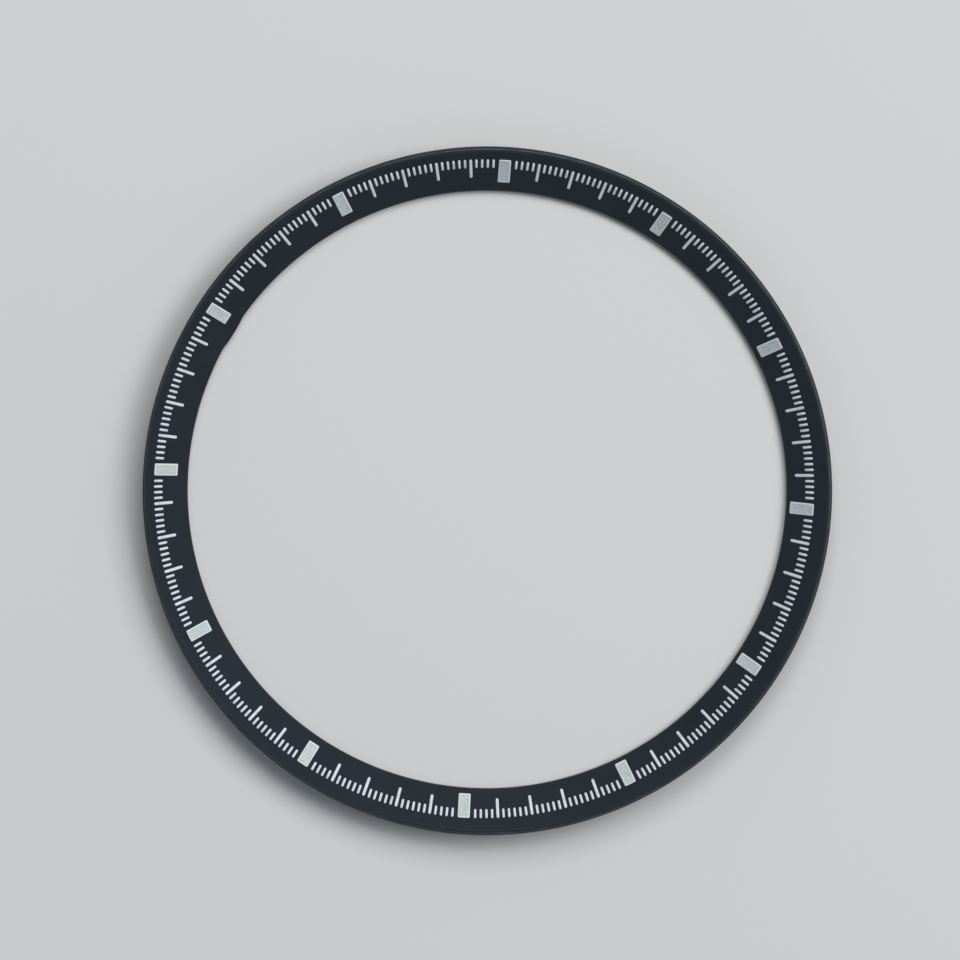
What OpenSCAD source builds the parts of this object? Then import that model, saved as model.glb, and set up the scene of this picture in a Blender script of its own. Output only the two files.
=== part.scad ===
// Funnel-shaped chapter ring of a wristwatch. Its flat foot stands on the rim of the dial, on the
// plane z = 0. The axis is Z and 12 o'clock lies towards +Y. The slope that faces inwards carries
// the printed minute track and twelve raised hour blocks.

/* [Ring] */
// Diameter of the dial opening
opening_d = 27; // [22:0.1:36]
// Height of the upright lip round the dial opening
lip_h = 0.35; // [0.2:0.05:0.8]
// Angle of the printed slope above the dial
slope_angle = 37; // [20:1:45]
// Width of the flat land on top of the rim
land_w = 0.12; // [0.06:0.02:0.6]
// Edge break between the land and the outer wall
rim_break = 0.1; // [0.04:0.02:0.2]
// Edge break at the top of the lip
lip_break = 0.05; // [0.02:0.01:0.1]
// Edge break round the foot, inside and outside
foot_break = 0.06; // [0.02:0.01:0.12]

/* [Edge nub] */
// How far the small nub stands in beyond the straight line between its ends
nub_out = 0.05; // [0.03:0.01:0.2]
// Length of the nub along the edge
nub_w = 1.7; // [0.8:0.1:3]
// Clock position of the nub, in hours
nub_hour = 9.94; // [9.2:0.01:10.8]

/* [Minute track] */
// Bare slope between the lip and the longest mark, seen from above
inner_gap = 0.3; // [0.24:0.02:0.8]
// Bare slope between the marks and the land, seen from above
outer_gap = 0.43; // [0.3:0.01:1]
// Length of a minute bar, seen from above
bar_len = 0.85; // [0.5:0.05:1.4]
// Width of a minute bar
bar_w = 0.135; // [0.08:0.005:0.16]
// Length of a tick, seen from above
tick_len = 0.4; // [0.2:0.02:0.8]
// Width of a tick
tick_w = 0.11; // [0.06:0.005:0.12]
// Divisions of one minute
divisions = 6; // [2:1:6]
// Thickness of the printed ink
ink_t = 0.03; // [0.02:0.005:0.05]
// How far the print lies off the ring's axis, towards 3 o'clock
print_dx = -0.15; // [-0.15:0.01:0.15]
// How far the print lies off the ring's axis, towards 12 o'clock
print_dy = 0.08; // [-0.12:0.01:0.12]

/* [Hour blocks] */
// Length of an hour block, seen from above
block_len = 1.05; // [0.5:0.05:1.4]
// Width of an hour block
block_w = 0.58; // [0.3:0.02:0.8]
// Corner radius of an hour block
block_r = 0.04; // [0.02:0.01:0.1]
// Thickness of the luminous paint
block_t = 0.07; // [0.04:0.01:0.12]
// Least bare width between an hour block and the nearest tick
block_gap = 0.1; // [0.06:0.01:0.14]

/* [Hidden] */
$fn = 96;
HOURS = 12;
SECTOR_MINUTES = 5;
HOUR_ANGLE = 360 / HOURS;
MINUTE_ANGLE = HOUR_ANGLE / SECTOR_MINUTES;
DIVISION_ANGLE = MINUTE_ANGLE / divisions;

RING_COLOUR = [0.12, 0.14, 0.18];
INK_COLOUR = [0.86, 0.88, 0.90];
BLOCK_COLOUR = [0.78, 0.82, 0.80];

// Plan radii, from the dial opening outwards
opening_r = opening_d / 2;
mark_len = max(block_len, bar_len, tick_len);
mark_r = opening_r + inner_gap + mark_len;
slope_r = mark_r + outer_gap;
wall_r = slope_r + land_w + rim_break;

// Heights
slope_rise = tan(slope_angle);
slope_foot_r = opening_r + lip_break;
rim_h = lip_h + (slope_r - slope_foot_r) * slope_rise;

// The nub is as high as the lip below its edge break, and is rooted this deep in the ring
nub_h = lip_h - lip_break;
nub_root = 0.3;

// Height of a layer's outer face above the slope, measured straight up
function layer_h(thickness) = thickness / cos(slope_angle);

// Clockwise angle from 12 o'clock, as an angle from +X
function dial_angle(clockwise) = 90 - clockwise;

// True where a tick at this angle past an hour keeps clear of the hour blocks on both sides
function clear_of_blocks(past_hour) =
    min(past_hour, HOUR_ANGLE - past_hour) * PI / 180 * (mark_r - tick_len)
    >= block_w / 2 + tick_w / 2 + block_gap;

// Bare ring: lip, slope, land, outer wall and foot in one turned section
module ring_section() {
    polygon([
        [opening_r, foot_break],
        [opening_r + foot_break, 0],
        [wall_r - foot_break, 0],
        [wall_r, foot_break],
        [wall_r, rim_h - rim_break],
        [wall_r - rim_break, rim_h],
        [slope_r, rim_h],
        [slope_foot_r, lip_h],
        [opening_r, lip_h - lip_break]
    ]);
}

// Small nub that stands in from the edge of the opening, with its ends on the edge
module edge_nub() {
    bump_r = (pow(nub_w / 2, 2) + pow(nub_out, 2)) / (2 * nub_out);
    edge_r = opening_r * cos(asin(nub_w / 2 / opening_r));
    rotate(dial_angle(nub_hour * HOUR_ANGLE))
    translate([0, 0, foot_break])
    linear_extrude(nub_h - foot_break)
    intersection() {
        translate([edge_r + bump_r - nub_out, 0]) circle(r = bump_r);
        translate([edge_r - nub_out, -nub_w / 2]) square([nub_out + nub_root, nub_w]);
    }
}

module ring_body() {
    color(RING_COLOUR)
    union() {
        rotate_extrude() ring_section();
        edge_nub();
    }
}

// A layer of even thickness on the slope, wide enough for every mark
module slope_layer(thickness) {
    rotate_extrude()
    polygon([
        [slope_foot_r, lip_h],
        [slope_r, rim_h],
        [slope_r, rim_h + layer_h(thickness)],
        [slope_foot_r, lip_h + layer_h(thickness)]
    ]);
}

// Outline of a straight bar with round ends, along +X
module round_bar(from_r, to_r, width) {
    translate([from_r + width / 2, -width / 2]) square([to_r - from_r - width, width]);
    translate([from_r + width / 2, 0]) circle(d = width);
    translate([to_r - width / 2, 0]) circle(d = width);
}

// Outline of an hour block along +X, with round corners
module block_outline(from_r, to_r) {
    translate([from_r + block_r, -block_w / 2])
    square([to_r - from_r - 2 * block_r, block_w]);
    translate([from_r, block_r - block_w / 2])
    square([to_r - from_r, block_w - 2 * block_r]);
    for (x = [from_r + block_r, to_r - block_r], side = [-1, 1])
        translate([x, side * (block_w / 2 - block_r)]) circle(r = block_r);
}

// Cuts marks out of a layer on the slope: the children are their outlines, centred on the print
module printed(thickness) {
    intersection() {
        slope_layer(thickness);
        translate([print_dx, print_dy, 0])
        linear_extrude(rim_h + layer_h(thickness))
        children();
    }
}

// One hour block of luminous paint
module hour_block(hour) {
    color(BLOCK_COLOUR)
    printed(block_t)
    rotate(dial_angle(hour * HOUR_ANGLE))
    block_outline(mark_r - block_len, mark_r);
}

// The minute bars that follow an hour, up to the next one
module minute_bars(hour) {
    color(INK_COLOUR)
    printed(ink_t)
    for (minute = [1:SECTOR_MINUTES - 1])
        rotate(dial_angle(hour * HOUR_ANGLE + minute * MINUTE_ANGLE))
        round_bar(mark_r - bar_len, mark_r, bar_w);
}

// The ticks that follow an hour, up to the next one: each minute's divisions less the minute bars
module ticks(hour) {
    color(INK_COLOUR)
    printed(ink_t)
    for (minute = [0:SECTOR_MINUTES - 1], step = [1:divisions - 1]) {
        past_hour = minute * MINUTE_ANGLE + step * DIVISION_ANGLE;
        if (clear_of_blocks(past_hour))
            rotate(dial_angle(hour * HOUR_ANGLE + past_hour))
            round_bar(mark_r - tick_len, mark_r, tick_w);
    }
}

ring_body();
for (hour = [1:HOURS]) hour_block(hour);
for (hour = [1:HOURS]) minute_bars(hour);
for (hour = [1:HOURS]) ticks(hour);
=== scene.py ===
"""Dressed model of a wristwatch chapter ring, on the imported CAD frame.

The ring stands on its flat foot on the plane z = 0 with its axis on Z and 12 o'clock towards +Y.
Sizes are held in millimetres in the classes and turned into metres when a mesh is made.
"""

import logging
import math
from dataclasses import dataclass
from enum import Enum
from typing import Any, TypeVar, Union

import bpy
import numpy as np
from mathutils import Matrix, Vector


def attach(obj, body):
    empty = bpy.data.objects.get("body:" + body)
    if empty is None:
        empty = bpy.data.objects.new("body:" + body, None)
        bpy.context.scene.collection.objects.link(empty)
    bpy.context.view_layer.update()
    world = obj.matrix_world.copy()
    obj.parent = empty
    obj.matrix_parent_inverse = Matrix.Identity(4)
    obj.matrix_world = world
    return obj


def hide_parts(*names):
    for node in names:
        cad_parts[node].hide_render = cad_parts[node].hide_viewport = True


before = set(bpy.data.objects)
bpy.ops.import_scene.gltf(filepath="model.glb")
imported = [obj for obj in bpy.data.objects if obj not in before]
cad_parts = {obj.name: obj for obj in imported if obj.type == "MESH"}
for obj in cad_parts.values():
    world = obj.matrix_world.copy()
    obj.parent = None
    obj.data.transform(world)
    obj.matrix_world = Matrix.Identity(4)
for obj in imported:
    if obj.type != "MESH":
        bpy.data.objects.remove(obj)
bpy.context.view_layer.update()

MM = 0.001
HOURS = 12
SECTOR_MINUTES = 5
MINUTE_ANGLE = math.tau / HOURS / SECTOR_MINUTES
LOG = logging.getLogger("chapter_ring")

# Attribute of the marks that is 1 on their edge and 0 on their top; the lume's painted edge
# highlight follows it
RIM = "rim"

# How far from a corner a smooth-shaded flat is held flat, as a multiple of its round's reach
HOLD = 1.7

Operand = Union["Wire", float]
Real = TypeVar("Real", float, np.ndarray)
Colour = tuple[float, float, float, float]
Span = tuple[float, float]


class Slot(str, Enum):
    """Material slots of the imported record."""

    PAINT = "ring_paint"
    LUME = "hour_lume"
    INK = "track_ink"


class Wire:
    """An output socket of a material, with operators that add Math nodes."""

    def __init__(self, sheet: "ShaderSheet", socket: bpy.types.NodeSocket) -> None:
        """Keeps the socket and the sheet it belongs to.

        Args:
            sheet: The shader sheet that makes further nodes.
            socket: The output socket to read.
        """
        self.sheet = sheet
        self.socket = socket

    def _math(self, operation: str, first: Operand, second: Operand) -> "Wire":
        """Adds one Math node.

        Args:
            operation: Name of the operation.
            first: First value or wire.
            second: Second value or wire.

        Returns:
            The wire of the result.
        """
        return self.sheet.node(
            "ShaderNodeMath", {"operation": operation}, {0: first, 1: second}
        )

    def __add__(self, other: Operand) -> "Wire":
        """Sum of the wire and a value."""
        return self._math("ADD", self, other)

    def __radd__(self, other: Operand) -> "Wire":
        """Sum of a value and the wire."""
        return self._math("ADD", other, self)

    def __sub__(self, other: Operand) -> "Wire":
        """The wire less a value."""
        return self._math("SUBTRACT", self, other)

    def __rsub__(self, other: Operand) -> "Wire":
        """A value less the wire."""
        return self._math("SUBTRACT", other, self)

    def __mul__(self, other: Operand) -> "Wire":
        """Product of the wire and a value."""
        return self._math("MULTIPLY", self, other)

    def __rmul__(self, other: Operand) -> "Wire":
        """Product of a value and the wire."""
        return self._math("MULTIPLY", other, self)

    def __pow__(self, other: Operand) -> "Wire":
        """The wire raised to a power."""
        return self._math("POWER", self, other)

    def above(self, low: float, high: float) -> "Wire":
        """Smooth step from 0 at one value of the wire to 1 at another.

        Args:
            low: Value at which the step begins.
            high: Value at which it ends.

        Returns:
            The wire of the step.
        """
        return self.sheet.node(
            "ShaderNodeMapRange",
            {"interpolation_type": "SMOOTHSTEP"},
            {"Value": self, "From Min": low, "From Max": high},
        )


class ShaderSheet:
    """A material being wired: one Principled shader and the nodes that feed it."""

    def __init__(self, name: str) -> None:
        """Makes the material with its Principled shader and its output.

        Args:
            name: Name of the material.
        """
        self.material = bpy.data.materials.new(name)
        self.material.use_nodes = True
        self.tree = self.material.node_tree
        self.tree.nodes.clear()
        self.shader = self.tree.nodes.new("ShaderNodeBsdfPrincipled")
        output = self.tree.nodes.new("ShaderNodeOutputMaterial")
        self.tree.links.new(self.shader.outputs[0], output.inputs["Surface"])

    def plug(self, socket: bpy.types.NodeSocket, value: Any) -> None:
        """Sets a socket, or links a wire to it.

        Args:
            socket: The input socket.
            value: A wire, a number or a tuple of numbers.
        """
        if isinstance(value, Wire):
            self.tree.links.new(value.socket, socket)
        else:
            socket.default_value = value

    def node(
        self,
        kind: str,
        settings: dict[str, Any] | None = None,
        inputs: dict[Any, Any] | None = None,
        output: Any = 0,
    ) -> Wire:
        """Adds any other node.

        Args:
            kind: The node's type.
            settings: Attributes that are set first, such as a Math node's operation.
            inputs: Values or wires by socket name or number.
            output: Name or number of the output to return.

        Returns:
            The wire of that output.
        """
        made = self.tree.nodes.new(kind)
        for key, value in (settings or {}).items():
            setattr(made, key, value)
        for key, value in (inputs or {}).items():
            self.plug(made.inputs[key], value)
        return Wire(self, made.outputs[output])

    def place(self, axis: str) -> Wire:
        """Object coordinate along X, Y or Z, in millimetres."""
        return self.node("ShaderNodeSeparateXYZ", {}, {0: self.millimetres()}, axis)

    def millimetres(self) -> Wire:
        """Reads where a spot of the surface lies.

        Returns:
            The wire of its object coordinates in millimetres.
        """
        return self.node(
            "ShaderNodeVectorMath",
            {"operation": "SCALE"},
            {0: self.node("ShaderNodeTexCoord", output="Object"), "Scale": 1 / MM},
        )

    def shifted(self, offset: float) -> Wire:
        """Moves the object coordinates by the same way along X, Y and Z.

        Args:
            offset: That way in millimetres.

        Returns:
            The wire of the moved coordinates in millimetres.
        """
        return self.node(
            "ShaderNodeVectorMath",
            {"operation": "ADD"},
            {0: self.millimetres(), 1: (offset, offset, offset)},
        )

    def radius(self) -> Wire:
        """Distance from the ring's axis, in millimetres: the root of x squared plus y squared."""
        x, y = self.place("X"), self.place("Y")
        return (x * x + y * y) ** 0.5

    def noise(
        self, grain: float, detail: float = 2.0, offset: float = 0.0, fade: float = 0.55
    ) -> Wire:
        """Even noise from 0 to 1.

        Args:
            grain: Size of its lumps in millimetres.
            detail: Number of finer layers.
            offset: Shift of the pattern in millimetres, which keeps two noises apart.
            fade: Strength of each finer layer beside the one before it.

        Returns:
            The wire of the noise.
        """
        spot = self.shifted(offset)
        return self.node(
            "ShaderNodeTexNoise",
            {"noise_dimensions": "3D"},
            {"Vector": spot, "Scale": 1 / grain, "Detail": detail, "Roughness": fade},
        )

    def lathe_lines(self, pitch: float) -> Wire:
        """Uneven lines round the axis: noise that depends on the radius and the height only.

        Args:
            pitch: Width of a line in millimetres.

        Returns:
            The wire of the lines, from 0 to 1.
        """
        spot = self.node("ShaderNodeCombineXYZ", {}, {0: self.radius(), 1: self.place("Z")})
        return self.node(
            "ShaderNodeTexNoise",
            {"noise_dimensions": "2D"},
            {"Vector": spot, "Scale": 1 / pitch, "Detail": 1.0},
        )

    def specks(self, spacing: float, size: float, share: float, offset: float) -> Wire:
        """Sparse round specks of dust.

        A speck is drawn round the point of a Voronoi cell, in the share of cells whose own random
        colour is high enough. It is solid out to its core and fades from there to its edge.

        Args:
            spacing: Width of a cell in millimetres.
            size: Width of a speck in millimetres.
            share: Share of the cells that hold a speck.
            offset: Shift of the pattern in millimetres.

        Returns:
            A mask that is 1 on a speck.
        """
        wiring = {"Vector": self.shifted(offset), "Scale": 1 / spacing}
        distance = self.node("ShaderNodeTexVoronoi", {}, wiring, "Distance")
        colour = self.node("ShaderNodeTexVoronoi", {}, wiring, "Color")
        chance = self.node("ShaderNodeSeparateColor", {}, {0: colour}, 0)
        edge = size / spacing / 2
        core, step = 0.6 * edge, 0.01
        held = chance.above(1 - share, 1 - share + step)
        return (1 - distance.above(core, edge)) * held

    def blend(self, mask: Operand, first: Any, second: Any) -> Wire:
        """Mix of two colours.

        Args:
            mask: 0 for the first colour, 1 for the second.
            first: Colour or wire.
            second: Colour or wire.

        Returns:
            The wire of the mixed colour.
        """
        return self.node(
            "ShaderNodeMix", {"data_type": "RGBA"}, {0: mask, 6: first, 7: second}, 2
        )

    def bump(self, height: Wire, depth: float) -> Wire:
        """Normal that is tilted by a height.

        Args:
            height: Height from 0 to 1.
            depth: Real depth of that height, in millimetres.

        Returns:
            The wire of the normal.
        """
        return self.node(
            "ShaderNodeBump", {}, {"Height": height, "Distance": depth * MM, "Strength": 1.0}
        )

    def finish(self, **sockets: Any) -> bpy.types.Material:
        """Plugs the Principled shader's sockets.

        Args:
            sockets: Values or wires by socket name, with underscores for blanks.

        Returns:
            The finished material.
        """
        for name, value in sockets.items():
            self.plug(self.shader.inputs[name.replace("_", " ")], value)
        return self.material


def written(red: int, green: int, blue: int) -> Colour:
    """Linear colour of an 8-bit display colour, by the sRGB curve.

    Args:
        red: Red from 0 to 255.
        green: Green from 0 to 255.
        blue: Blue from 0 to 255.

    Returns:
        Linear red, green, blue and an alpha of 1.
    """
    share = np.array([red, green, blue]) / 255
    curve = np.where(share <= 0.04045, share / 12.92, ((share + 0.055) / 1.055) ** 2.4)
    return (*(float(c) for c in curve), 1.0)


@dataclass(frozen=True)
class Tint:
    """A colour that lies over another where a mask is high.

    Its cover rises smoothly from nothing where the mask is low to its strength where it is high.
    """

    colour: Colour
    low: float
    high: float
    strength: float = 1.0

    def over(self, sheet: ShaderSheet, mask: Wire, under: Any) -> Wire:
        """Lays the tint over a colour.

        Args:
            sheet: The material's sheet.
            mask: Where the tint lies.
            under: Colour or wire below it.

        Returns:
            The wire of the mixed colour.
        """
        cover = mask.above(self.low, self.high) * self.strength
        return sheet.blend(cover, under, self.colour)


@dataclass(frozen=True)
class SatinPaint:
    """Satin blue-black paint of the turned ring.

    The metal's lathe lines show faintly through it. It has a fine grain, faint clouding, a few
    specks of dust, and a thin paler line round the rim's edge: a painted edge highlight, paler
    still in places where the paint is worn. The outer wall, which lies in the case, is left matt.
    Lengths are in millimetres, and the paler line's spans count from the land's outer edge.
    """

    base: Colour = written(32, 39, 47)
    cloud: Tint = Tint(written(28, 35, 42), 0.35, 0.7)
    # Colour of the paler line round the rim's edge: a painted edge highlight all round, paler
    # still where the paint is worn.
    rub_and_highlight: Colour = written(66, 72, 79)
    dust: Colour = written(150, 152, 152)
    dust_cover: float = 0.8
    cloud_size: float = 2.6
    grain_size: float = 0.05
    lump_size: float = 0.22
    line_pitch: float = 0.05
    wear_size: float = 0.6
    wear_step: Span = (0.4, 0.65)
    # Least cover of the paler edge line, which it has all round: painted highlight.
    highlight_least: float = 0.35
    rim_r: float = 15.4
    rim_z: float = 1.65
    # Spans of the paler edge line, a painted highlight with wear in places.
    rub_and_highlight_inner: Span = (-0.035, -0.01)
    rub_and_highlight_outer: Span = (0.01, 0.04)
    rub_and_highlight_rise: Span = (-0.08, -0.04)
    wall_step: Span = (15.41, 15.48)
    depth: float = 0.0026
    specular: float = 0.58

    def rubbed_and_highlighted(self, sheet: ShaderSheet) -> Wire:
        """Mask of the paler line round the rim's edge: painted highlight, and worn paint in
        places.

        It is a narrow band of radii high on the ring, times its wear, which is never less than
        highlight_least: that least cover, all round the edge, is a painted edge highlight.

        Args:
            sheet: The material's sheet.

        Returns:
            A mask that is highest where the paint is worn most.
        """
        out = sheet.radius() - self.rim_r
        band = out.above(*self.rub_and_highlight_inner) * (1 - out.above(*self.rub_and_highlight_outer))
        high = (sheet.place("Z") - self.rim_z).above(*self.rub_and_highlight_rise)
        worn = sheet.noise(self.wear_size, detail=4.0, offset=3.0).above(*self.wear_step)
        return band * high * (self.highlight_least + (1 - self.highlight_least) * worn)

    def material(self) -> bpy.types.Material:
        """Wires the paint.

        Returns:
            The material.
        """
        sheet = ShaderSheet("satin_blue_black_paint")
        clouds = sheet.noise(self.cloud_size, detail=3.0)
        grain = sheet.noise(self.grain_size, offset=7.0)
        lumps = sheet.noise(self.lump_size, offset=13.0)
        lines = sheet.lathe_lines(self.line_pitch)
        dust = sheet.specks(spacing=1.3, size=0.06, share=0.06, offset=5.0)
        wall = sheet.radius().above(*self.wall_step)
        colour = self.cloud.over(sheet, clouds, self.base)
        # Paler line round the rim's edge: painted edge highlight all round, with worn paint in
        # places.
        colour = sheet.blend(self.rubbed_and_highlighted(sheet), colour, self.rub_and_highlight)
        colour = sheet.blend(dust * self.dust_cover, colour, self.dust)
        relief = grain * 0.5 + lumps * 0.4 + lines * 0.5 + dust * 1.5
        return sheet.finish(
            Base_Color=colour,
            Roughness=0.16 + 0.07 * grain + 0.05 * clouds + 0.3 * dust + 0.6 * wall,
            Normal=sheet.bump(relief, self.depth),
            Specular_IOR_Level=self.specular,
        )


@dataclass(frozen=True)
class LumePaint:
    """Matte luminous paint of the hour blocks: grey-white with a sandy grain and a paler rim.

    It holds greenish and bluish pools, and is warmer on some blocks than on others. The paler rim
    is a painted edge highlight; it comes from the blocks' own attribute, which is 1 on their edge
    and 0 on their top.
    """

    base: Colour = written(201, 207, 209)
    green: Tint = Tint(written(187, 203, 197), 0.4, 0.6)
    blue: Tint = Tint(written(194, 204, 217), 0.5, 0.66, 0.8)
    warm: Tint = Tint(written(205, 206, 196), 0.45, 0.58, 0.5)
    pale: Tint = Tint(written(236, 241, 243), 0.48, 0.7, 0.5)
    pit: Tint = Tint(written(170, 177, 181), 0.5, 0.72, 0.6)
    # Painted edge highlight: near-white over each block's edge.
    rim: Tint = Tint(written(236, 241, 243), 0.1, 0.85, 0.95)
    pool_size: float = 0.3
    cool_size: float = 0.4
    batch_size: float = 8.0
    sand_size: float = 0.07
    depth: float = 0.005
    specular: float = 0.35

    def material(self) -> bpy.types.Material:
        """Wires the luminous paint.

        Returns:
            The material.
        """
        sheet = ShaderSheet("matte_lume")
        pools = sheet.noise(self.pool_size, offset=9.0)
        cool = sheet.noise(self.cool_size, detail=1.0, offset=21.0)
        batch = sheet.noise(self.batch_size, detail=0.0, offset=31.0)
        sand = sheet.noise(self.sand_size, offset=2.0)
        edge = sheet.node("ShaderNodeAttribute", {"attribute_name": RIM}, {}, "Fac")
        colour = self.green.over(sheet, pools, self.base)
        colour = self.blue.over(sheet, cool, colour)
        colour = self.warm.over(sheet, batch, colour)
        colour = self.pale.over(sheet, sand, colour)
        colour = self.pit.over(sheet, 1 - sand, colour)
        # Painted edge highlight laid round each block's edge.
        colour = self.rim.over(sheet, edge, colour)
        return sheet.finish(
            Base_Color=colour,
            Roughness=0.62 + 0.25 * sand,
            Normal=sheet.bump(sand * 0.7 + pools * 0.5, self.depth),
            Specular_IOR_Level=self.specular,
        )


@dataclass(frozen=True)
class TrackInk:
    """Cool white printing ink of the minute track: nearly even, with faint thin spots."""

    base: Colour = written(228, 232, 240)
    thin: Tint = Tint(written(192, 198, 210), 0.48, 0.72)
    grain_size: float = 0.03
    patch_size: float = 0.32
    depth: float = 0.003
    specular: float = 0.4

    def material(self) -> bpy.types.Material:
        """Wires the ink.

        Returns:
            The material.
        """
        sheet = ShaderSheet("cool_white_ink")
        grain = sheet.noise(self.grain_size, offset=4.0)
        patch = sheet.noise(self.patch_size, offset=11.0)
        return sheet.finish(
            Base_Color=self.thin.over(sheet, grain * 0.4 + patch * 0.6, self.base),
            Roughness=0.5 + 0.2 * grain,
            Normal=sheet.bump(grain, self.depth),
            Specular_IOR_Level=self.specular,
        )


def shell(
    name: str, points: np.ndarray, faces: list[list[int]], material: bpy.types.Material
) -> bpy.types.Object:
    """Makes a smooth-shaded mesh object at the origin.

    Args:
        name: Name of the piece.
        points: Points in millimetres, one row each.
        faces: Corner numbers of each face.
        material: Its finish.

    Returns:
        The new object, linked to the scene.
    """
    mesh = bpy.data.meshes.new(name)
    mesh.from_pydata((points * MM).tolist(), [], faces)
    mesh.polygons.foreach_set("use_smooth", np.ones(len(mesh.polygons), bool))
    mesh.materials.append(material)
    mesh.update()
    piece = bpy.data.objects.new(name, mesh)
    bpy.context.scene.collection.objects.link(piece)
    return piece


def grid_faces(rows: int, columns: int, closed: bool) -> np.ndarray:
    """Quads between neighbours on a grid of points whose rows are closed loops.

    Args:
        rows: Number of rows of points.
        columns: Number of points in a row.
        closed: Whether the last row joins the first.

    Returns:
        Four point numbers for each quad, row by row.
    """
    spans = np.arange(rows if closed else rows - 1)
    row, column = (g.ravel() for g in np.meshgrid(spans, np.arange(columns), indexing="ij"))
    after, beside = (row + 1) % rows, (column + 1) % columns
    corners = (
        row * columns + column,
        row * columns + beside,
        after * columns + beside,
        after * columns + column,
    )
    return np.stack(corners, axis=1)


def rounded(corners: np.ndarray, reach: np.ndarray, steps: int) -> np.ndarray:
    """Rounds every corner of a closed outline.

    Corner P has its neighbours A and B. With S and E at the corner's reach from P towards A and
    B, the round is (1 - t)^2 S + 2 t (1 - t) P + t^2 E for t from 0 to 1. A point at HOLD times
    the reach on either side holds the flats flat under smooth shading.

    Args:
        corners: Corners in order, one row each.
        reach: Distance from each corner at which its round begins.
        steps: Number of points on a round.

    Returns:
        The rounded outline, one row a point.
    """
    back = np.roll(corners, 1, 0) - corners
    ahead = np.roll(corners, -1, 0) - corners
    back = back / np.linalg.norm(back, axis=1, keepdims=True) * reach[:, None]
    ahead = ahead / np.linalg.norm(ahead, axis=1, keepdims=True) * reach[:, None]
    t = np.linspace(0, 1, steps)[None, :, None]
    start, middle, end = (a[:, None] for a in (corners + back, corners, corners + ahead))
    curve = (1 - t) ** 2 * start + 2 * t * (1 - t) * middle + t**2 * end
    rows = [(corners + HOLD * back)[:, None], curve, (corners + HOLD * ahead)[:, None]]
    return np.concatenate(rows, axis=1).reshape(-1, 2)


@dataclass(frozen=True)
class RingSizes:
    """Plan radii and heights of the turned ring, in millimetres."""

    opening_r: float = 13.5
    lip_h: float = 0.35
    slope_deg: float = 37.0
    slope_r: float = 15.28
    land_w: float = 0.12
    rim_break: float = 0.1
    lip_break: float = 0.05
    foot_break: float = 0.06
    nub_out: float = 0.043
    nub_w: float = 1.7
    nub_hour: float = 9.94

    @property
    def wall_r(self) -> float:
        """Radius of the outer wall."""
        return self.slope_r + self.land_w + self.rim_break

    @property
    def foot_r(self) -> float:
        """Radius at which the slope leaves the lip."""
        return self.opening_r + self.lip_break

    @property
    def rim_h(self) -> float:
        """Height of the land on the rim."""
        return self.slope_z(self.slope_r)

    def slope_z(self, radius: Real) -> Real:
        """Height of the slope: the lip's plus the way out from its foot times tan of its angle."""
        return self.lip_h + (radius - self.foot_r) * math.tan(math.radians(self.slope_deg))


@dataclass
class RingBody:
    """The turned ring with its lip, slope, land, outer wall, foot and edge nub."""

    sizes: RingSizes
    paint: SatinPaint = SatinPaint()
    turns: int = 720
    steps: int = 7
    reach: tuple[float, ...] = (0.024, 0.02, 0.022, 0.004, 0.012, 0.03, 0.024, 0.024, 0.024)

    def section(self) -> np.ndarray:
        """Rounded section of the ring, clockwise with the radius to the right and Z up.

        The reach of each corner's round follows the corners' order.

        Returns:
            Radius and height of each point.
        """
        s = self.sizes
        corners = np.array(
            [
                [s.opening_r, s.foot_break],
                [s.opening_r, s.lip_h - s.lip_break],
                [s.foot_r, s.lip_h],
                [s.slope_r, s.rim_h],
                [s.wall_r - s.rim_break, s.rim_h],
                [s.wall_r, s.rim_h - s.rim_break],
                [s.wall_r, s.foot_break],
                [s.wall_r - s.foot_break, 0],
                [s.opening_r + s.foot_break, 0],
            ]
        )
        return rounded(corners, np.array(self.reach), self.steps)

    def nub_radius(self, azimuth: np.ndarray) -> np.ndarray:
        """Inner radius of the opening's edge with its nub.

        The nub is an arc of radius b through both of its ends, with its centre at the distance c
        from the axis, so at the angle a from its middle it lies at c cos a less the root of
        b^2 - c^2 sin^2 a.

        Args:
            azimuth: Angles from +X in radians.

        Returns:
            Inner radius at each angle, in millimetres.
        """
        s = self.sizes
        half = s.nub_w / 2
        b = (half**2 + s.nub_out**2) / (2 * s.nub_out)
        c = s.opening_r * math.cos(math.asin(half / s.opening_r)) + b - s.nub_out
        middle = math.pi / 2 - s.nub_hour * math.tau / HOURS
        a = (azimuth - middle + math.pi) % math.tau - math.pi
        near = np.abs(a) < math.asin(half / s.opening_r)
        a = np.where(near, a, 0)
        arc = c * np.cos(a) - np.sqrt(b**2 - (c * np.sin(a)) ** 2)
        return np.where(near, np.minimum(arc, s.opening_r), s.opening_r)

    def points(self) -> tuple[np.ndarray, int]:
        """Carries the section round the axis.

        A section point (r, z) at the angle a lies at (r cos a, r sin a, z). The points on the
        inner wall move in to the nub's edge: those below the lip's break and beside the opening.

        Returns:
            The points, turn by turn, and the number of points in the section.
        """
        section = self.section()
        angle = np.arange(self.turns) / self.turns * math.tau
        r = np.broadcast_to(section[None, :, 0], (self.turns, len(section)))
        z = np.broadcast_to(section[None, :, 1], r.shape)
        s = self.sizes
        slack, beside = 1e-6, 0.02
        on_wall = (z <= s.lip_h - s.lip_break + slack) & (r < s.opening_r + beside)
        r = r + np.where(on_wall, self.nub_radius(angle)[:, None] - s.opening_r, 0)
        spots = np.stack([r * np.cos(angle)[:, None], r * np.sin(angle)[:, None], z], axis=2)
        return spots.reshape(-1, 3), len(section)

    def build(self) -> bpy.types.Object:
        """Makes the piece that stands for the ring's CAD node.

        Returns:
            The dressed ring.
        """
        points, count = self.points()
        faces = grid_faces(self.turns, count, closed=True).tolist()
        piece = shell("turned_ring", points, faces, self.paint.material())
        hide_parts("ring_body")
        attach(piece, "root")
        return piece


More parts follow.
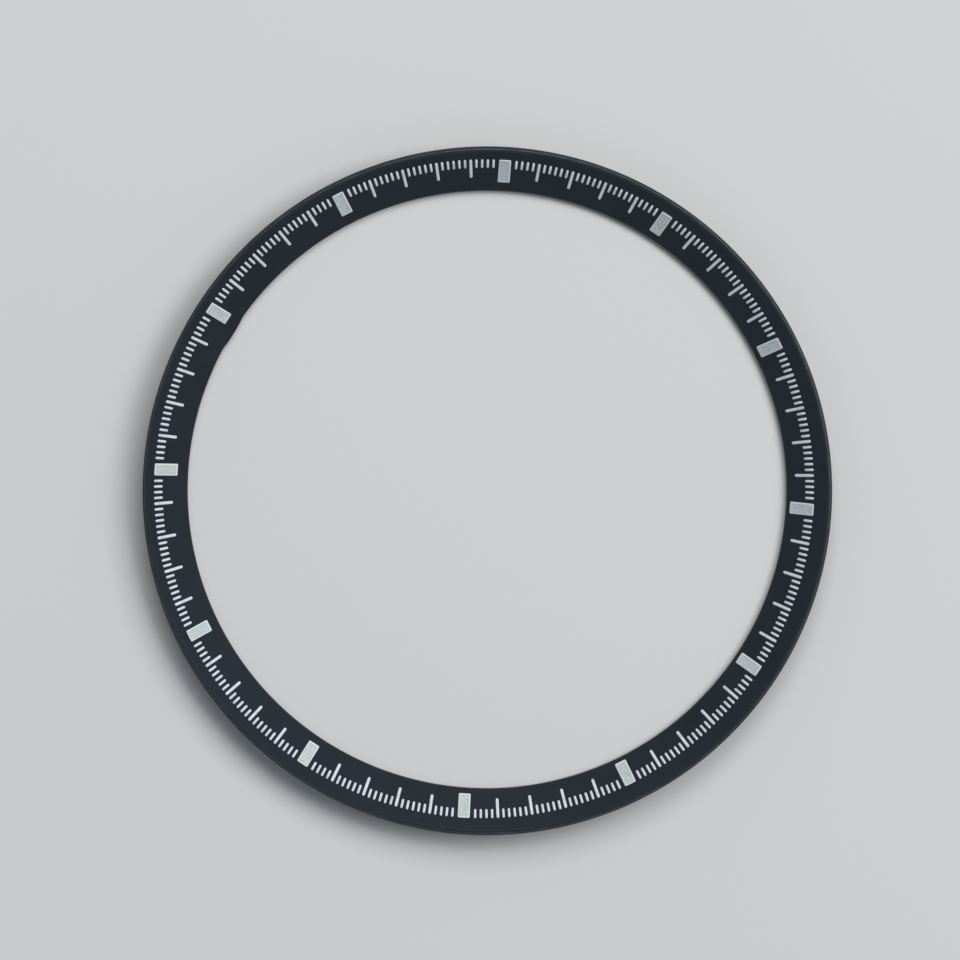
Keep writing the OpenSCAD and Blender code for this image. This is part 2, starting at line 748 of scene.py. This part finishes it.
@dataclass(frozen=True)
class Pad:
    """A raised mark with round corners, with its length along X and its middle at the origin.

    Each ring of the pad is its outline set in evenly by some distance, at some share of the
    paint's thickness, so the pad's side, shoulder and top are one surface. The rings are pairs of
    that inset and that share, and the widest inset stays under half the width.
    """

    length: float
    width: float
    corner: float
    thickness: float
    rings: tuple[Span, ...]
    corner_steps: int
    side_steps: int = 0
    least_arc: float = 0.0005
    rim_w: float = 0.09

    def outline(self, inset: np.ndarray) -> np.ndarray:
        """Outlines of the pad, counter-clockwise, one for each inset.

        A corner's arc has its centre at the half sizes less the corner radius, and its radius is
        the corner's less the inset, never under least_arc. The points between two arcs divide
        their straight side evenly.

        Args:
            inset: Distance of each outline from the outer one.

        Returns:
            Plan points, by inset and place.
        """
        half = np.array([self.length, self.width]) / 2
        arc = np.linspace(0, math.pi / 2, self.corner_steps)
        radius = np.maximum(self.corner - inset, self.least_arc)
        hub = half - np.maximum(self.corner, inset + self.least_arc)[:, None]
        turn = np.arange(4)[:, None] * math.pi / 2 + arc
        side = np.array([[1, 1], [-1, 1], [-1, -1], [1, -1]])
        hubs = hub[:, None, None] * side[None, :, None]
        arcs = np.stack([np.cos(turn), np.sin(turn)], axis=-1)[None] * radius[:, None, None, None]
        spots = hubs + arcs
        if self.side_steps:
            t = (np.arange(1, self.side_steps + 1) / (self.side_steps + 1))[None, None, :, None]
            first, last = spots[:, :, -1:], np.roll(spots, -1, 1)[:, :, :1]
            spots = np.concatenate([spots, first + (last - first) * t], axis=2)
        return spots.reshape(len(inset), -1, 2)

    def rim_share(self) -> np.ndarray:
        """Share of the rim: 1 on the edge, falling as 1 - inset / rim_w to 0.

        Returns:
            The share at each point.
        """
        inset = np.array(self.rings)[:, 0]
        count = 4 * (self.corner_steps + self.side_steps)
        return np.repeat(np.clip(1 - inset / self.rim_w, 0, 1), count)

    def surface(self) -> tuple[np.ndarray, list[np.ndarray]]:
        """The pad laid flat, with its height above the slope as the third coordinate.

        Returns:
            The points, and the faces as the quads between the rings and the two ends.
        """
        inset, share = np.array(self.rings).T
        plan = self.outline(inset)
        height = np.broadcast_to((share * self.thickness)[:, None, None], (*plan.shape[:2], 1))
        points = np.concatenate([plan, height], axis=2)
        count = plan.shape[1]
        quads = grid_faces(len(inset), count, closed=False)
        top = (len(inset) - 1) * count + np.arange(count)
        base = np.arange(count)[::-1]
        return points.reshape(-1, 3), [quads, np.stack([top, base])]


@dataclass
class MinuteTrack:
    """The printed track and the raised hour blocks on the slope.

    An hour block has a steep side, a round shoulder, a slightly raised rim and a hollow top. Bars
    and ticks have full round ends, and the ticks few faces, because they are repeated so often.
    """

    sizes: RingSizes
    lume: LumePaint = LumePaint()
    ink: TrackInk = TrackInk()
    print_dx: float = -0.15
    print_dy: float = 0.08
    mark_r: float = 14.85
    divisions: int = 6
    block_gap: float = 0.1
    block: Pad = Pad(
        length=1.03,
        width=0.545,
        corner=0.055,
        thickness=0.07,
        rings=(
            (0.0, -0.08), (0.0, 0.45), (0.006, 0.72), (0.018, 0.9), (0.036, 0.985),
            (0.06, 1.0), (0.1, 0.95), (0.16, 0.88), (0.22, 0.845), (0.262, 0.84),
        ),
        corner_steps=7,
        side_steps=9,
    )
    bar: Pad = Pad(
        length=0.83,
        width=0.132,
        corner=0.066,
        thickness=0.03,
        rings=((0.0, -0.1), (0.0, 0.4), (0.01, 0.85), (0.028, 1.0)),
        corner_steps=5,
    )
    tick: Pad = Pad(
        length=0.39,
        width=0.11,
        corner=0.055,
        thickness=0.03,
        rings=((0.0, -0.1), (0.0, 0.5), (0.016, 1.0)),
        corner_steps=4,
    )

    def on_slope(
        self, name: str, pad: Pad, clockwise: np.ndarray, material: bpy.types.Material
    ) -> bpy.types.Object:
        """Lays copies of a pad on the slope, with their outer ends at mark_r.

        A pad's point (x, y, h), moved out to the track, turned by the angle a and moved by the
        print's offset, lies in plan at (x cos a - y sin a + dx, x sin a + y cos a + dy). It lies
        at the slope's height at its radius plus h over the cosine of the slope's angle.

        Args:
            name: Name of the piece.
            pad: The mark.
            clockwise: Clockwise angles from 12 o'clock in radians.
            material: Its finish.

        Returns:
            The piece.
        """
        local, groups = pad.surface()
        a = math.pi / 2 - clockwise[:, None]
        out, across = local[:, 0] + self.mark_r - pad.length / 2, local[:, 1]
        x = out * np.cos(a) - across * np.sin(a) + self.print_dx
        y = out * np.sin(a) + across * np.cos(a) + self.print_dy
        lift = local[:, 2] / math.cos(math.radians(self.sizes.slope_deg))
        z = self.sizes.slope_z(np.hypot(x, y)) + lift
        points = np.stack([x, y, z], axis=2).reshape(-1, 3)
        shift = np.arange(len(clockwise))[:, None, None] * len(local)
        faces: list[list[int]] = []
        for group in groups:
            faces += (group + shift).reshape(-1, group.shape[1]).tolist()
        piece = shell(name, points, faces, material)
        rim = piece.data.attributes.new(RIM, "FLOAT", "POINT")
        share = np.tile(pad.rim_share(), len(clockwise)).astype(np.float32)
        rim.data.foreach_set("value", share)
        return piece

    def tick_angles(self) -> np.ndarray:
        """Angles past an hour at which a tick stands.

        They are the divisions that aren't minute bars and whose distance to the nearer hour block,
        the angle times the radius of the ticks' inner ends, leaves block_gap bare.

        Returns:
            The angles in radians.
        """
        step = np.arange(SECTOR_MINUTES * self.divisions)
        past = step / self.divisions * MINUTE_ANGLE
        near = np.minimum(past, SECTOR_MINUTES * MINUTE_ANGLE - past)
        near = near * (self.mark_r - self.tick.length)
        clear = near >= self.block.width / 2 + self.tick.width / 2 + self.block_gap
        return past[(step % self.divisions != 0) & clear]

    def build(self) -> list[bpy.types.Object]:
        """Makes the blocks, bars and ticks, one piece for each of their CAD nodes.

        Returns:
            The dressed marks.
        """
        lume, ink = self.lume.material(), self.ink.material()
        minutes = np.arange(1, SECTOR_MINUTES) * MINUTE_ANGLE
        made = []
        for hour in range(1, HOURS + 1):
            start = hour * math.tau / HOURS
            for node, pad, past, material, slot in (
                (f"hour_block_{hour}", self.block, np.zeros(1), lume, Slot.LUME),
                (f"minute_bars_{hour}", self.bar, minutes, ink, Slot.INK),
                (f"ticks_{hour}", self.tick, self.tick_angles(), ink, Slot.INK),
            ):
                piece = self.on_slope(f"painted_{node}", pad, start + past, material)
                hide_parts(node)
                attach(piece, "root")
                made.append(piece)
        return made


@dataclass(frozen=True)
class Bench:
    """Plain pale floor, soft lamps, dim room and the camera.

    The aim's height and the floor are in millimetres; the lamps and the clip are in metres. A
    lamp has its name, its direction in degrees clockwise from up in the picture, and its power.
    """

    lens: float = 300.0
    scale_px: float = 22.205
    roll_deg: float = 3.614
    lean_right: float = -0.015
    lean_up: float = 0.062
    centre_px: tuple[float, float] = (487.35, 491.0)
    side_px: float = 960.0
    sensor: float = 36.0
    clip: Span = (0.01, 10.0)
    aim_z: float = 0.8
    lamp_rise_deg: float = 53.0
    lamp_away: float = 0.6
    lamp_side: float = 0.34
    lamps: tuple[tuple[str, float, float], ...] = (
        ("window_above", 6.0, 1.34),
        ("window_right", 68.0, 1.66),
    )
    room_colour: Colour = (0.86, 0.94, 1.06, 1.0)
    room_strength: float = 0.24
    floor_colour: Colour = (0.74, 0.74, 0.725, 1.0)
    floor_half: float = 2000.0

    def axes(self) -> tuple[Vector, Vector]:
        """Turns the picture's directions into directions on the floor.

        Returns:
            The picture's right and up.
        """
        turn = math.radians(self.roll_deg)
        return (
            Vector((math.cos(turn), math.sin(turn), 0)),
            Vector((-math.sin(turn), math.cos(turn), 0)),
        )

    def camera(self) -> bpy.types.Object:
        """Makes the camera.

        It stands back along its line of view by the distance at which a millimetre on the ring
        spans scale_px pixels, and aims beside the ring's middle so that no lens shift is needed.

        Returns:
            The camera.
        """
        right, up = self.axes()
        back = (right * self.lean_right + up * self.lean_up + Vector((0, 0, 1))).normalized()
        distance = self.lens / self.sensor * self.side_px / self.scale_px * MM
        dx = (self.side_px / 2 - self.centre_px[0]) / self.scale_px * MM
        dy = (self.centre_px[1] - self.side_px / 2) / self.scale_px * MM
        aim = right * dx + up * dy + Vector((0, 0, self.aim_z * MM))
        lens = bpy.data.cameras.new("camera")
        lens.lens, lens.sensor_width = self.lens, self.sensor
        lens.clip_start, lens.clip_end = self.clip
        camera = bpy.data.objects.new("camera", lens)
        bpy.context.scene.collection.objects.link(camera)
        across = up.cross(back).normalized()
        turn = Matrix((across, back.cross(across), back)).transposed()
        camera.matrix_world = Matrix.Translation(aim + back * distance) @ turn.to_4x4()
        bpy.context.scene.camera = camera
        return camera

    def lamp(self, name: str, clockwise: float, watts: float) -> bpy.types.Object:
        """Makes a soft square lamp that faces the ring.

        Args:
            name: Name of the lamp.
            clockwise: Its direction in the picture, in degrees clockwise from up.
            watts: Its power.

        Returns:
            The lamp.
        """
        right, up = self.axes()
        turn, rise = math.radians(clockwise), math.radians(self.lamp_rise_deg)
        flat = up * math.cos(turn) + right * math.sin(turn)
        place = (flat * math.cos(rise) + Vector((0, 0, 1)) * math.sin(rise)) * self.lamp_away
        light = bpy.data.lights.new(name, "AREA")
        light.shape, light.size, light.energy = "SQUARE", self.lamp_side, watts
        lamp = bpy.data.objects.new(name, light)
        lamp.location = place
        lamp.rotation_mode = "QUATERNION"
        lamp.rotation_quaternion = place.to_track_quat("Z", "Y")
        bpy.context.scene.collection.objects.link(lamp)
        return lamp

    def floor(self) -> bpy.types.Object:
        """Makes the pale floor under the ring's foot.

        Returns:
            The floor.
        """
        sheet = ShaderSheet("pale_floor")
        material = sheet.finish(
            Base_Color=self.floor_colour, Roughness=0.9, Specular_IOR_Level=0.1
        )
        corners = np.array([[-1, -1, 0], [1, -1, 0], [1, 1, 0], [-1, 1, 0]])
        floor = shell("floor", corners * self.floor_half, [[0, 1, 2, 3]], material)
        return floor

    def build(self) -> None:
        """Sets the camera, the floor, the lamps and the world."""
        self.camera()
        self.floor()
        for name, clockwise, watts in self.lamps:
            self.lamp(name, clockwise, watts)
        world = bpy.data.worlds.new("room")
        world.use_nodes = True
        background = world.node_tree.nodes["Background"]
        background.inputs["Color"].default_value = self.room_colour
        background.inputs["Strength"].default_value = self.room_strength
        bpy.context.scene.world = world


def main() -> None:
    logging.basicConfig(level=logging.INFO, format="%(name)s: %(message)s")
    bpy.context.scene.view_settings.view_transform = "Standard"
    sizes = RingSizes()
    ring = RingBody(sizes).build()
    LOG.info("%s: %d faces", ring.name, len(ring.data.polygons))
    for mark in MinuteTrack(sizes).build():
        LOG.info("%s: %d faces", mark.name, len(mark.data.polygons))
    Bench().build()
    LOG.info("bench, lamps and camera are set")


if __name__ == "__main__":
    main()
